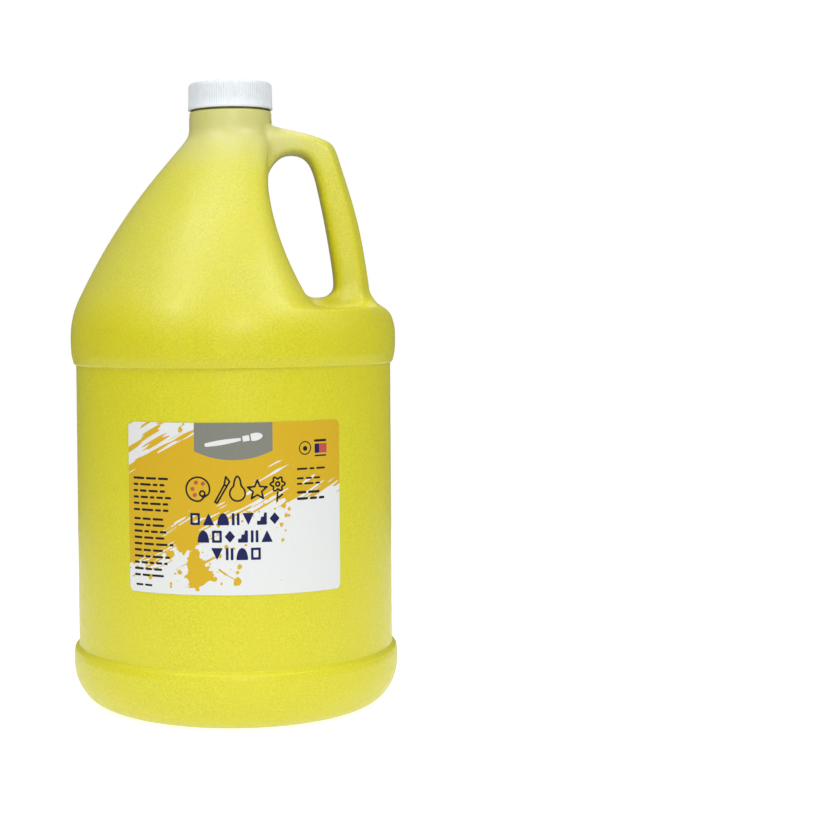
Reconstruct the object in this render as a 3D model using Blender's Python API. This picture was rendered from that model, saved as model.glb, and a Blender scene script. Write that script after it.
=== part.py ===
"""One-gallon blow-moulded paint jug with a side handle, screw cap, foam liner, label and paint.

Lengths are in millimetres and are turned into metres where a mesh is made.  The origin is the
middle of the base, +Z runs up the neck, the handle is on the +X side and the label faces -Y.
"""
import math
from collections import namedtuple

import bmesh
import bpy
from mathutils import Vector

MM = 0.001

# ---- jug: turned outline ----------------------------------------------------------------------
PANEL_R = 75.5            # straight wall that carries the label
BAND_R = 78.0             # base band and shoulder band, proud of the panel
PUSH_UP = 4.0             # how far the middle of the base is domed up
STAND_R = 56.0            # inner edge of the flat ring that the jug stands on
HEEL_R = 68.0             # where the heel would meet the floor as a sharp corner
BAND_TOP_Z = 25.0         # top of the base band
PANEL_Z = (30.0, 160.9)   # bottom and top of the panel
SHOULDER_Z = 184.8        # where the shoulder band turns into the dome
DOME = (55.8, 229.0)      # radius and height of the corner that the dome is rounded from
DOME_FILLET = 271.0
COLLAR_R = 19.5           # plain neck under the cap
COLLAR_Z = (270.6, 281.8)
FINISH_R = 17.4           # threaded neck, root of the thread
MOUTH_Z = 293.1
WALL = 1.0

# ---- jug: recess beside the handle ------------------------------------------------------------
RECESS_X = 16.9           # flat wall of the recess, at the height where it is deepest
RECESS_Z = 254.0
RECESS_CURVE = 0.00475    # how fast that wall moves out below there, per mm
RECESS_FLARE = 0.012      # and above there, to meet the collar
EDGE_POWER = 12           # roundness of the recess's upright edges; higher is sharper
WEB_HALF = 10.0           # half width of the web between the handle's root and the body

# ---- handle -----------------------------------------------------------------------------------
SECTION_POWER = 3.2       # rounded rectangle
OUTER_BEVEL = 0.26        # how much narrower the handle's outer face is than its middle

# ---- thread, 38 mm neck -----------------------------------------------------------------------
PITCH = 25.4 / 6
THREAD_Z = 285.2          # middle of the neck thread where it starts
THREAD_TURNS = 1.15
THREAD_R = 18.6
CAP_THREAD_TURNS = 1.0
CAP_THREAD_R = 17.8
THREAD_STEPS = 32         # per turn
THREAD_LEAD = 30.0        # degrees over which a thread's end fades in

# ---- cap, liner, label, paint -----------------------------------------------------------------
CAP_Z = (283.0, 295.9)
CAP_R = 20.3
CAP_TAPER = 0.2
CAP_BORE_R = 18.9
CAP_TOP = 1.3
CAP_ROUND = 1.8
RIB_COUNT = 60
RIB_DEPTH = 0.3
GAP = 0.3                 # between pieces that touch
LINER_R = 18.3
LINER_THICK = 0.9
LABEL_WIDTH = 102.0
LABEL_Z = (62.2, 138.4)
LABEL_THICK = 0.3
LABEL_CORNER = 2.5
PAINT_LEVEL = 266.5

AROUND = 40               # points round the jug
# How far a ring's points are drawn together on the handle's side, by height.
GATHER = ((BAND_TOP_Z, 0.0), (PANEL_Z[1], 0.55), (187.0, 0.6), (203.0, 0.55), (244.0, 0.25),
          (276.0, 0.08), (COLLAR_Z[1] + 2.0, 0.0))
PATCH = 4                 # the handle joins a patch this many points to each side of +X
PATCH_ROWS = 4

# A ring of the jug: its height on the handle's side and at the back, its radius where it isn't on
# the dome, the largest x it may reach, and how far the web lifts it.
Station = namedtuple("Station", "z back_z radius limit lift")
FREE = 1000.0             # a ring that no recess limits


def clear_scene():
    for old in list(bpy.data.objects):
        bpy.data.objects.remove(old, do_unlink=True)


def material(name, colour, roughness):
    made = bpy.data.materials.new(name)
    made.use_nodes = True
    shader = made.node_tree.nodes["Principled BSDF"]
    shader.inputs["Base Color"].default_value = (*colour, 1.0)
    shader.inputs["Roughness"].default_value = roughness
    shader.inputs["Metallic"].default_value = 0.0
    return made


def as_object(name, bm, finish, smooth=True):
    """Turn a closed bmesh in millimetres into an object in metres."""
    bmesh.ops.scale(bm, vec=(MM, MM, MM), verts=bm.verts)
    mesh = bpy.data.meshes.new(name)
    bm.to_mesh(mesh)
    bm.free()
    if smooth:
        mesh.shade_smooth()
        mesh.set_sharp_from_angle(angle=math.radians(35))
    made = bpy.data.objects.new(name, mesh)
    bpy.context.scene.collection.objects.link(made)
    made.data.materials.append(finish)
    return made


# ---- outlines ---------------------------------------------------------------------------------
def rounded(corners, step_deg):
    """Points along a path of (x, y, fillet radius) corners, with arcs cut into steps."""
    points = [Vector(corners[0][:2])]
    for before, here, after in zip(corners, corners[1:], corners[2:]):
        corner = Vector(here[:2])
        back = (Vector(before[:2]) - corner).normalized()
        ahead = (Vector(after[:2]) - corner).normalized()
        opening = back.angle(ahead)
        if here[2] <= 0 or opening > math.pi - 1e-4:
            points.append(corner)
            continue
        centre = corner + (back + ahead).normalized() * here[2] / math.sin(opening / 2)
        start = corner + back * here[2] / math.tan(opening / 2) - centre
        turn = math.pi - opening
        if back.x * ahead.y - back.y * ahead.x > 0:
            turn = -turn
        steps = max(1, round(abs(turn) / math.radians(step_deg)))
        for k in range(steps + 1):
            angle = turn * k / steps
            spin = Vector((start.x * math.cos(angle) - start.y * math.sin(angle),
                           start.x * math.sin(angle) + start.y * math.cos(angle)))
            points.append(centre + spin)
    points.append(Vector(corners[-1][:2]))
    return points


def lower_outline():
    """Base, heel, base band and panel, from the middle of the base upwards."""
    return rounded([
        (0.0, PUSH_UP, 0), (44.0, PUSH_UP - 0.8, 12.0), (STAND_R, 0.0, 0),
        (HEEL_R, 0.0, 12.6), (BAND_R, 11.2, 23.5), (BAND_R, BAND_TOP_Z, 3.5),
        (PANEL_R, PANEL_Z[0], 0), (PANEL_R, PANEL_Z[1], 0),
        (BAND_R - 0.6, PANEL_Z[1] + 3.4, 0), (BAND_R, 172.0, 0)], 14)


def dome_radius(z):
    """Radius of the shoulder and dome at a height, read off the rounded outline."""
    path = rounded([
        (BAND_R, 172.0, 0), (BAND_R, SHOULDER_Z, 42.0), (*DOME, DOME_FILLET),
        (COLLAR_R, COLLAR_Z[0], 6.5), (COLLAR_R, COLLAR_Z[1], 0)], 1)
    for low, high in zip(path, path[1:]):
        if low.y <= z <= high.y:
            return low.x + (high.x - low.x) * (z - low.y) / (high.y - low.y)
    return path[-1].x


def recess_limit(z):
    """Largest x that the jug reaches beside the handle."""
    rate = RECESS_CURVE if z < RECESS_Z else RECESS_FLARE
    return RECESS_X + rate * (z - RECESS_Z) ** 2


def jug_stations():
    """Every ring of the jug from base to mouth, and where the two handle patches begin."""
    rings = [Station(p.y, p.y, p.x, FREE, 0.0) for p in lower_outline()[1:]]
    for z, back_z, limit in ((179.0, 175.0, FREE), (184.6, 178.0, 98.0), (186.4, 180.2, 87.0),
                             (187.6, 182.2, 80.0)):
        rings.append(Station(z, back_z, None, limit, 0.0))
    shelf_row = len(rings)
    for limit, z, back_z, lift in ((74.0, 188.2, 184.0, 0.6), (65.0, 187.9, 185.8, 0.6),
                                   (56.0, 187.5, 187.6, 1.0), (47.0, 187.6, 189.6, 2.8),
                                   (40.0, 188.4, 192.0, 4.3), (36.6, 190.6, 195.0, 3.0)):
        rings.append(Station(z, back_z, None, limit, lift))
    rings.append(Station(195.0, 199.0, None, recess_limit(195.0), 1.0))
    for z in (203.0, 212.0, 222.0, 233.0, 244.0):
        rings.append(Station(z, max(z, 204.5), None, recess_limit(z), 0.0))
    neck_row = len(rings)
    for z in (252.5, 258.0, 264.0, 270.0, 275.6):
        rings.append(Station(z, z, None, recess_limit(z), 0.0))
    collar_top = COLLAR_Z[1]
    for radius, z in ((COLLAR_R, collar_top - 0.8), (COLLAR_R - 0.8, collar_top),
                      (FINISH_R, collar_top), (FINISH_R, MOUTH_Z)):
        rings.append(Station(z, z, radius, FREE, 0.0))
    return rings, shelf_row, neck_row


def gather_at(z):
    """The gathering at a height; it changes slowly, so that the quads stay nearly square."""
    for (low, start), (high, end) in zip(GATHER, GATHER[1:]):
        if low <= z <= high:
            return start + (end - start) * (z - low) / (high - low)
    return 0.0


def ring_point(ring, index):
    """A point of a ring; gathering draws the points together on the handle's side."""
    even = 2 * math.pi * index / AROUND
    angle = even - gather_at(ring.z) * math.sin(even)
    toward = max(0.0, math.cos(angle))
    near = min(1.0, (ring.radius or dome_radius(ring.z)) * toward / ring.limit)
    near = near * near * (3 - 2 * near)
    z = ring.back_z + (ring.z - ring.back_z) * near
    radius = ring.radius or dome_radius(z)
    reach = radius * (1 + (radius * toward / ring.limit) ** EDGE_POWER) ** (-1 / EDGE_POWER)
    x, y = reach * math.cos(angle), reach * math.sin(angle)
    web = math.exp(-(y / WEB_HALF) ** 2) if x > 0 else 0.0
    return Vector((x, y, z + ring.lift * web))


# ---- handle -----------------------------------------------------------------------------------
def handle_sections():
    """(inner x, z), (outer x, z) and depth of each section, from the neck round to the shelf."""
    return (
        ((20.6, 257.4), (24.0, 274.5), 21.0),
        ((25.0, 260.9), (30.3, 273.3), 21.5),
        ((30.5, 261.5), (37.2, 271.5), 22.5),
        ((34.7, 260.1), (43.2, 269.4), 23.5),
        ((37.4, 257.5), (48.0, 266.8), 24.0),
        ((39.2, 253.9), (50.5, 262.4), 24.5),
        ((40.7, 249.2), (52.6, 255.7), 25.0),
        ((42.5, 241.0), (56.1, 244.6), 25.0),
        ((44.4, 231.6), (59.3, 233.4), 25.0),
        ((46.2, 221.4), (61.9, 222.0), 25.0),
        ((47.9, 210.6), (63.9, 210.2), 25.5),
        ((49.0, 201.4), (65.4, 200.0), 26.0),
        ((48.7, 196.4), (66.6, 195.2), 27.0),
        ((45.4, 193.2), (70.4, 190.8), 29.0),
    )


def patch_steps():
    """Corner-to-corner walk round a patch: outer side, +Y side, inner side, -Y side."""
    across = [-1 + k / PATCH for k in range(2 * PATCH)]
    along = [1 - 2 * k / PATCH_ROWS for k in range(PATCH_ROWS)]
    return ([(1.0, v) for v in across] + [(u, 1.0) for u in along]
            + [(-1.0, -v) for v in across] + [(-u, -1.0) for u in along])


def section_points(inner, outer, depth):
    """One closed section of the handle, in the order of patch_steps."""
    low, high = Vector((inner[0], 0, inner[1])), Vector((outer[0], 0, outer[1]))
    middle, half = (low + high) / 2, (high - low) / 2
    points = []
    for u, v in patch_steps():
        size = (abs(u) ** SECTION_POWER + abs(v) ** SECTION_POWER) ** (1 / SECTION_POWER)
        narrowing = 1 - OUTER_BEVEL * max(0.0, u / size) ** 2
        points.append(middle + half * (u / size) + Vector((0, depth / 2 * v / size * narrowing, 0)))
    return points


def patch_loop(rows, first_row, outer_first):
    """Vertices round a patch, in the order of patch_steps."""
    loop = []
    for u, v in patch_steps():
        step = (1 - u) * PATCH_ROWS / 2 if outer_first else (1 + u) * PATCH_ROWS / 2
        loop.append(rows[first_row + round(step)][round(v * PATCH) % AROUND])
    return loop


def jug_surface():
    """The jug's whole outer skin as one surface, open at the mouth."""
    rings, shelf_row, neck_row = jug_stations()
    bm = bmesh.new()
    centre = bm.verts.new((0, 0, PUSH_UP))
    rows = [[bm.verts.new(ring_point(ring, k)) for k in range(AROUND)] for ring in rings]
    for k in range(AROUND):
        bm.faces.new((centre, rows[0][(k + 1) % AROUND], rows[0][k]))
    for row, (low, high) in enumerate(zip(rows, rows[1:])):
        joined = (0 <= row - shelf_row < PATCH_ROWS) or (0 <= row - neck_row < PATCH_ROWS)
        for k in range(AROUND):
            side = k if k < AROUND / 2 else k - AROUND
            if joined and -PATCH <= side < PATCH:
                continue
            after = (k + 1) % AROUND
            bm.faces.new((low[k], low[after], high[after], high[k]))
    loops = [patch_loop(rows, neck_row, outer_first=False)]
    for inner, outer, depth in handle_sections():
        loops.append([bm.verts.new(p) for p in section_points(inner, outer, depth)])
    loops.append(patch_loop(rows, shelf_row, outer_first=True))
    for near, far in zip(loops, loops[1:]):
        for k in range(len(near)):
            after = (k + 1) % len(near)
            bm.faces.new((near[k], near[after], far[after], far[k]))
    loose = [v for v in bm.verts if not v.link_faces]
    bmesh.ops.delete(bm, geom=loose, context="VERTS")
    bmesh.ops.triangulate(bm, faces=bm.faces, quad_method="SHORT_EDGE")
    bmesh.ops.recalc_face_normals(bm, faces=bm.faces)
    bm.normal_update()
    return bm


def sink(verts, depth):
    """Move a skin inwards by an even depth."""
    shifts = [(v, v.normal * depth * v.calc_shell_factor()) for v in verts]
    for vert, shift in shifts:
        vert.co -= shift


# ---- screw threads ----------------------------------------------------------------------------
def helical_ridge(name, hidden_r, root_r, crest_r, root_width, crest_width, start_z, start_deg,
                  turns):
    """A closed ridge along a helix, from hidden_r inside its wall out to crest_r."""
    bm = bmesh.new()
    steps = round(turns * THREAD_STEPS)
    sections = []
    for k in range(steps + 1):
        degrees = 360 * turns * k / steps
        fade = min(1.0, degrees / THREAD_LEAD, (360 * turns - degrees) / THREAD_LEAD)
        crest = hidden_r + (crest_r - hidden_r) * max(fade, 0.15)
        angle = math.radians(start_deg + degrees)
        z = start_z + PITCH * degrees / 360
        spread = root_width / 2 + (root_width - crest_width) / 2 * (
            abs(hidden_r - root_r) / abs(crest_r - root_r))
        corners = ((hidden_r, -spread), (crest, -crest_width / 2),
                   (crest, crest_width / 2), (hidden_r, spread))
        sections.append([bm.verts.new((r * math.cos(angle), r * math.sin(angle), z + dz))
                         for r, dz in corners])
    for near, far in zip(sections, sections[1:]):
        for k in range(4):
            bm.faces.new((near[k], near[(k + 1) % 4], far[(k + 1) % 4], far[k]))
    bm.faces.new(sections[0])
    bm.faces.new(sections[-1])
    bmesh.ops.recalc_face_normals(bm, faces=bm.faces)
    made = as_object(name, bm, bpy.data.materials["guide"], smooth=False)
    made.hide_render = True
    made.display_type = "WIRE"
    return made


def join_thread(target, ridge):
    union = target.modifiers.new("thread", "BOOLEAN")
    union.operation = "UNION"
    union.solver = "EXACT"
    union.object = ridge


# ---- the pieces -------------------------------------------------------------------------------
def make_jug(finish):
    bm = jug_surface()
    mouth = [e for e in bm.edges if e.is_boundary]
    lining = bmesh.ops.duplicate(bm, geom=list(bm.verts) + list(bm.edges) + list(bm.faces))
    inner_faces = [g for g in lining["geom"] if isinstance(g, bmesh.types.BMFace)]
    sink([g for g in lining["geom"] if isinstance(g, bmesh.types.BMVert)], WALL)
    bmesh.ops.reverse_faces(bm, faces=inner_faces)
    mouth += [e for f in inner_faces for e in f.edges if e.is_boundary]
    bmesh.ops.bridge_loops(bm, edges=mouth)
    bmesh.ops.recalc_face_normals(bm, faces=bm.faces)
    jug = as_object("jug_body", bm, finish)
    ridge = helical_ridge("neck_thread_guide", FINISH_R - 0.5, FINISH_R, THREAD_R, 2.4, 1.1,
                          THREAD_Z, 0.0, THREAD_TURNS)
    join_thread(jug, ridge)
    return jug


def make_paint(finish):
    """Paint that fills the jug and its hollow handle up to the paint's level."""
    bm = jug_surface()
    sink(bm.verts, WALL + GAP)
    cut = bmesh.ops.bisect_plane(bm, geom=list(bm.verts) + list(bm.edges) + list(bm.faces),
                                 plane_co=(0, 0, PAINT_LEVEL), plane_no=(0, 0, 1),
                                 clear_outer=True)
    rim = [e for e in cut["geom_cut"] if isinstance(e, bmesh.types.BMEdge)]
    bmesh.ops.holes_fill(bm, edges=rim, sides=0)
    bmesh.ops.recalc_face_normals(bm, faces=bm.faces)
    return as_object("paint_fill", bm, finish)


def cap_row(bm, radius, height, ribbed):
    """A ring of the cap's outside; every second point is sunk where the side is ribbed."""
    row = []
    for k in range(2 * RIB_COUNT):
        angle = math.pi * k / RIB_COUNT
        r = radius - (RIB_DEPTH if ribbed and k % 2 else 0.0)
        row.append(bm.verts.new((r * math.cos(angle), r * math.sin(angle), height)))
    return row


def bridge(bm, low, high):
    for k in range(len(low)):
        after = (k + 1) % len(low)
        bm.faces.new((low[k], low[after], high[after], high[k]))


def make_cap(finish):
    """Ribbed cap, built about its own turning axis with its rim at height 0."""
    height = CAP_Z[1] - CAP_Z[0]
    bm = bmesh.new()
    low_r, high_r = CAP_R, CAP_R - CAP_TAPER
    rows = [cap_row(bm, CAP_BORE_R, height - CAP_TOP, False),
            cap_row(bm, CAP_BORE_R, 0.0, False),
            cap_row(bm, low_r, 0.0, False),
            cap_row(bm, low_r, 1.0, False),
            cap_row(bm, low_r, 1.2, True),
            cap_row(bm, high_r, height - CAP_ROUND, True),
            cap_row(bm, high_r - CAP_ROUND * 0.3, height - CAP_ROUND * 0.3, False),
            cap_row(bm, high_r - CAP_ROUND, height, False)]
    for low, high in zip(rows, rows[1:]):
        bridge(bm, low, high)
    bm.faces.new(rows[0])
    bm.faces.new(rows[-1])
    bmesh.ops.recalc_face_normals(bm, faces=bm.faces)
    cap = as_object("screw_cap", bm, finish)
    start = THREAD_Z + PITCH / 2 - CAP_Z[0] - PITCH * 40 / 360
    ridge = helical_ridge("cap_thread_guide", CAP_BORE_R + 0.4, CAP_BORE_R, CAP_THREAD_R, 2.6, 1.2,
                          start, -40.0, CAP_THREAD_TURNS)
    join_thread(cap, ridge)
    return cap, ridge


def make_liner(finish):
    bottom = MOUTH_Z + GAP
    bm = bmesh.new()
    bmesh.ops.create_cone(bm, cap_ends=True, segments=AROUND, radius1=LINER_R, radius2=LINER_R,
                          depth=LINER_THICK)
    bmesh.ops.translate(bm, vec=(0, 0, LINER_THICK / 2), verts=bm.verts)
    liner = as_object("cap_liner", bm, finish)
    liner.location.z = bottom * MM
    return liner


def make_label(finish):
    """Paper label bent round the front of the panel, with rounded corners."""
    inner, outer = PANEL_R + GAP, PANEL_R + GAP + LABEL_THICK
    half, (low, high), c = LABEL_WIDTH / 2, LABEL_Z, LABEL_CORNER
    columns = [-half + c * (1 - math.cos(math.radians(a))) for a in (0, 30, 60, 90)]
    columns += [-half + c + (LABEL_WIDTH - 2 * c) * k / 14 for k in range(1, 14)]
    columns += [-x for x in reversed(columns[:4])]
    bm = bmesh.new()
    strips = []
    for x in columns:
        inset = max(0.0, abs(x) - (half - c))
        cut = c - math.sqrt(max(0.0, c * c - inset * inset))
        angle = x / inner
        strips.append([bm.verts.new((r * math.sin(angle), -r * math.cos(angle), z))
                       for r, z in ((inner, low + cut), (inner, high - cut),
                                    (outer, high - cut), (outer, low + cut))])
    for near, far in zip(strips, strips[1:]):
        bridge(bm, near, far)
    bm.faces.new(strips[0])
    bm.faces.new(strips[-1])
    bmesh.ops.recalc_face_normals(bm, faces=bm.faces)
    return as_object("front_label", bm, finish)


def main():
    clear_scene()
    material("guide", (0.5, 0.5, 0.5), 0.5)
    make_jug(material("jug_yellow", (0.70, 0.66, 0.06), 0.42))
    make_paint(material("paint_yellow", (0.80, 0.70, 0.03), 0.25))
    make_label(material("label_paper", (0.85, 0.85, 0.82), 0.40))
    cap, ridge = make_cap(material("cap_white", (0.86, 0.87, 0.88), 0.38))
    liner = make_liner(material("liner_foam", (0.88, 0.88, 0.85), 0.80))

    axis = bpy.data.objects.new("cap_axis", None)
    bpy.context.scene.collection.objects.link(axis)
    axis.location.z = CAP_Z[0] * MM
    for piece in (cap, ridge):
        piece.parent = axis
    liner.parent = axis
    liner.location.z -= axis.location.z


main()
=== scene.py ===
import math
from collections import namedtuple

import bmesh
import bpy
import numpy as np
from mathutils import Euler, Matrix, Vector
from mathutils.bvhtree import BVHTree


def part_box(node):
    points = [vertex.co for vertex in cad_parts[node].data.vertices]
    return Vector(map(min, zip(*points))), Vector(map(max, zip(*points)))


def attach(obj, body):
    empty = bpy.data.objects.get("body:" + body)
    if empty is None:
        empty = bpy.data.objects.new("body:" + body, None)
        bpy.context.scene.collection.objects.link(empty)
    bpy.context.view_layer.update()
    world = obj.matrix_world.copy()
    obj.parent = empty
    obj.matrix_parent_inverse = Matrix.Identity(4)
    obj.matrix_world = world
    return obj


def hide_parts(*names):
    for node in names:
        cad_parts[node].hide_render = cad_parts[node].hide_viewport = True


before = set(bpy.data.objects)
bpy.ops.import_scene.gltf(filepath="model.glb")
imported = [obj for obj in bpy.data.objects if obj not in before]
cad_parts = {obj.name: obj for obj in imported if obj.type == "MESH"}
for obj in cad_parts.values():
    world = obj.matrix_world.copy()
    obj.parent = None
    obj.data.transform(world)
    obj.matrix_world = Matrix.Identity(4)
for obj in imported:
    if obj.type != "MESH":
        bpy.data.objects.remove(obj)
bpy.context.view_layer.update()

# Shapes are worked out in millimetres, in the CAD's own frame, and made in metres.
MM = 0.001

# The jug's outline is the CAD's, refined in its bands, heel, collar, wall and roundness.
PANEL_R = 75.5            # straight wall that carries the label
BAND_R = 78.0             # base band and shoulder band, proud of the panel
PUSH_UP = 4.0             # how far the middle of the base is domed up
STAND_R = 56.0            # inner edge of the flat ring that the jug stands on
HEEL_R = 67.8             # where the heel would meet the floor as a sharp corner
HEEL_FILLET = 14.5
BAND_TOP_Z = 24.1         # top of the base band
PANEL_Z = (28.2, 161.8)   # bottom and top of the panel
BAND_START_Z = 172.0      # where the lower outline ends and the dome's begins
SHOULDER_Z = 184.8        # where the shoulder band turns into the dome
DOME = (55.8, 229.0)      # radius and height of the corner that the dome is rounded from
DOME_FILLET = 271.0
COLLAR_R = 19.7           # plain neck under the cap
COLLAR_Z = (270.6, 282.2)
FINISH_R = 17.4           # threaded neck, root of the thread
WALL = 0.9
RECESS_X = 16.9           # flat wall of the recess, at the height where it is deepest
RECESS_Z = 254.0
RECESS_CURVE = 0.00475    # how fast that wall moves out below there, per mm
RECESS_FLARE = 0.012      # and above there, to meet the collar
ROOT_X = 17.6             # the recess's wall where the handle leaves the neck
EDGE_POWER = 10           # roundness of the recess's upright edges; higher is sharper
WEB_HALF = 10.0           # half width of the web between the handle's root and the body
SECTION_POWER = 6.0       # roundness of the handle's section; higher is squarer
RIDGE_AT = 0.5            # where the handle's flat side turns into its bevelled outer face
RIDGE_CUT = 0.5           # how much narrower the outer face is there

AROUND = 80               # points round the jug
PATCH = 8                 # the handle joins a patch this many points to each side of +X
PATCH_ROWS = 8
FREE = 1000.0             # a ring that no recess limits

PITCH = 25.4 / 6
THREAD_TURNS = 1.15
THREAD_Z = 285.2          # middle of the neck thread where it starts
THREAD_R = 18.6
CAP_THREAD_R = 17.8
CAP_THREAD_START = -40.0  # degrees round from +X
THREAD_STEPS = 120        # sections per turn
THREAD_LEAD = 30          # degrees over which a thread's end fades in

PAINT_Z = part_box("paint_fill")[1].z / MM
MOUTH_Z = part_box("jug_body")[1].z / MM
CAP_LOW, CAP_HIGH = (corner.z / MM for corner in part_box("screw_cap"))
CAP_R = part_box("screw_cap")[1].x / MM
LABEL_LOW, LABEL_HIGH = (corner.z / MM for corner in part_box("front_label"))
LINER_LOW, LINER_HIGH = (corner.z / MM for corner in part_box("cap_liner"))
FLOOR_R = 0.6             # metres

# One ring of the jug: its height on the handle's side and behind, its radius (None follows the dome),
# the largest x it may reach, how far its points gather, and how far the handle's web lifts it.
Station = namedtuple("Station", "z back_z radius limit gather lift")


# ---- small helpers ----
def in_scene(name, data):
    """A new object of the scene."""
    made = bpy.data.objects.new(name, data)
    bpy.context.scene.collection.objects.link(made)
    return made


def link(name, mesh, *finishes):
    """A new smooth-shaded object with its materials."""
    made = in_scene(name, mesh)
    for finish in finishes:
        mesh.materials.append(finish)
    mesh.shade_smooth()
    return made


def solid(name, bm, finish):
    """An object from a closed bmesh in millimetres, its faces turned outwards; frees the bmesh."""
    bmesh.ops.recalc_face_normals(bm, faces=bm.faces)
    bmesh.ops.scale(bm, vec=(MM, MM, MM), verts=bm.verts)
    mesh = bpy.data.meshes.new(name)
    bm.to_mesh(mesh)
    bm.free()
    return link(name, mesh, finish)


def of_kind(geom, kind):
    return [part for part in geom if isinstance(part, kind)]


def bridge(bm, low, high):
    """A closed band of quads between two rings of the same number of vertices."""
    for k in range(len(low)):
        after = (k + 1) % len(low)
        bm.faces.new((low[k], low[after], high[after], high[k]))


def rounded(corners, step_deg):
    """Points along a path of (x, y, fillet radius) corners, with arcs cut into steps."""
    points = [Vector(corners[0][:2])]
    for before, here, after in zip(corners, corners[1:], corners[2:]):
        corner = Vector(here[:2])
        back = (Vector(before[:2]) - corner).normalized()
        ahead = (Vector(after[:2]) - corner).normalized()
        opening = back.angle(ahead)
        if here[2] <= 0 or opening > math.pi - 1e-4:
            points.append(corner)
            continue
        centre = corner + (back + ahead).normalized() * here[2] / math.sin(opening / 2)
        start = corner + back * here[2] / math.tan(opening / 2) - centre
        turn = math.pi - opening
        if back.x * ahead.y - back.y * ahead.x > 0:
            turn = -turn
        steps = max(2, round(abs(turn) / math.radians(step_deg)))
        for k in range(steps + 1):
            points.append(centre + Matrix.Rotation(turn * k / steps, 2) @ start)
    points.append(Vector(corners[-1][:2]))
    return points


def turned(path, around, radius_at=None):
    """A bmesh made by turning (r, z) points about Z; radius_at(r, row, angle) may shape each ring."""
    bm = bmesh.new()
    rows = []
    for row, point in enumerate(path):
        ring = []
        for k in range(around):
            angle = 2 * math.pi * k / around
            r = radius_at(point.x, row, angle) if radius_at else point.x
            ring.append(bm.verts.new((r * math.cos(angle), r * math.sin(angle), point.y)))
        rows.append(ring)
    for low, high in zip(rows, rows[1:]):
        bridge(bm, low, high)
    return bm, rows


def close_disc(bm, ring, z):
    """Fill a ring with triangles that meet in its middle."""
    centre = bm.verts.new((0, 0, z))
    for k in range(len(ring)):
        bm.faces.new((centre, ring[k], ring[(k + 1) % len(ring)]))


# ---- materials ----
class Nodes:
    """A short way to build a material's node tree."""

    def __init__(self, name):
        self.material = bpy.data.materials.new(name)
        self.material.use_nodes = True
        self.tree = self.material.node_tree
        self.shader = self.tree.nodes["Principled BSDF"]
        self.place = self.add("ShaderNodeTexCoord").outputs["Object"]

    def add(self, kind, **values):
        node = self.tree.nodes.new(kind)
        for key, value in values.items():
            setattr(node, key, value)
        return node

    def join(self, start, end):
        self.tree.links.new(start, end)

    def noise(self, per_mm, detail=2.0, stretch=(1, 1, 1), roughness=0.5):
        mapping = self.add("ShaderNodeMapping")
        mapping.inputs["Scale"].default_value = [s / MM * per_mm for s in stretch]
        node = self.add("ShaderNodeTexNoise")
        node.inputs["Scale"].default_value = 1.0
        node.inputs["Detail"].default_value = detail
        node.inputs["Roughness"].default_value = roughness
        self.join(self.place, mapping.inputs["Vector"])
        self.join(mapping.outputs["Vector"], node.inputs["Vector"])
        return node.outputs["Fac"]

    def ramp(self, value, low, high, out_low=0.0, out_high=1.0):
        node = self.add("ShaderNodeMapRange")
        node.interpolation_type = "SMOOTHSTEP"
        for key, number in (("From Min", low), ("From Max", high),
                            ("To Min", out_low), ("To Max", out_high)):
            node.inputs[key].default_value = number
        self.join(value, node.inputs["Value"])
        return node.outputs["Result"]

    def math(self, kind, a, b):
        node = self.add("ShaderNodeMath", operation=kind)
        for slot, value in ((0, a), (1, b)):
            if isinstance(value, (int, float)):
                node.inputs[slot].default_value = value
            else:
                self.join(value, node.inputs[slot])
        return node.outputs["Value"]

    def mix(self, factor, a, b):
        node = self.add("ShaderNodeMix", data_type="RGBA")
        self.join(factor, node.inputs["Factor"])
        for slot, value in (("A", a), ("B", b)):
            socket = [s for s in node.inputs if s.name == slot and s.type == "RGBA"][0]
            if isinstance(value, tuple):
                socket.default_value = (*value, 1.0)
            else:
                self.join(value, socket)
        return [s for s in node.outputs if s.type == "RGBA"][0]

    def axis(self, letter):
        split = self.add("ShaderNodeSeparateXYZ")
        self.join(self.place, split.inputs["Vector"])
        return split.outputs[letter]

    def bump(self, layers):
        """Stack (height socket, strength, distance in mm) bumps and feed the shader's normal."""
        normal = None
        for value, strength, distance in layers:
            node = self.add("ShaderNodeBump")
            node.inputs["Strength"].default_value = strength
            node.inputs["Distance"].default_value = distance * MM
            self.join(value, node.inputs["Height"])
            if normal:
                self.join(normal, node.inputs["Normal"])
            normal = node.outputs["Normal"]
        self.join(normal, self.shader.inputs["Normal"])

    def set(self, **values):
        for key, value in values.items():
            socket = self.shader.inputs[key.replace("_", " ")]
            if isinstance(value, tuple) and socket.type == "RGBA":
                value = (*value, 1.0)
            if hasattr(value, "node"):
                self.join(value, socket)
            else:
                socket.default_value = value
        return self.material


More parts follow.
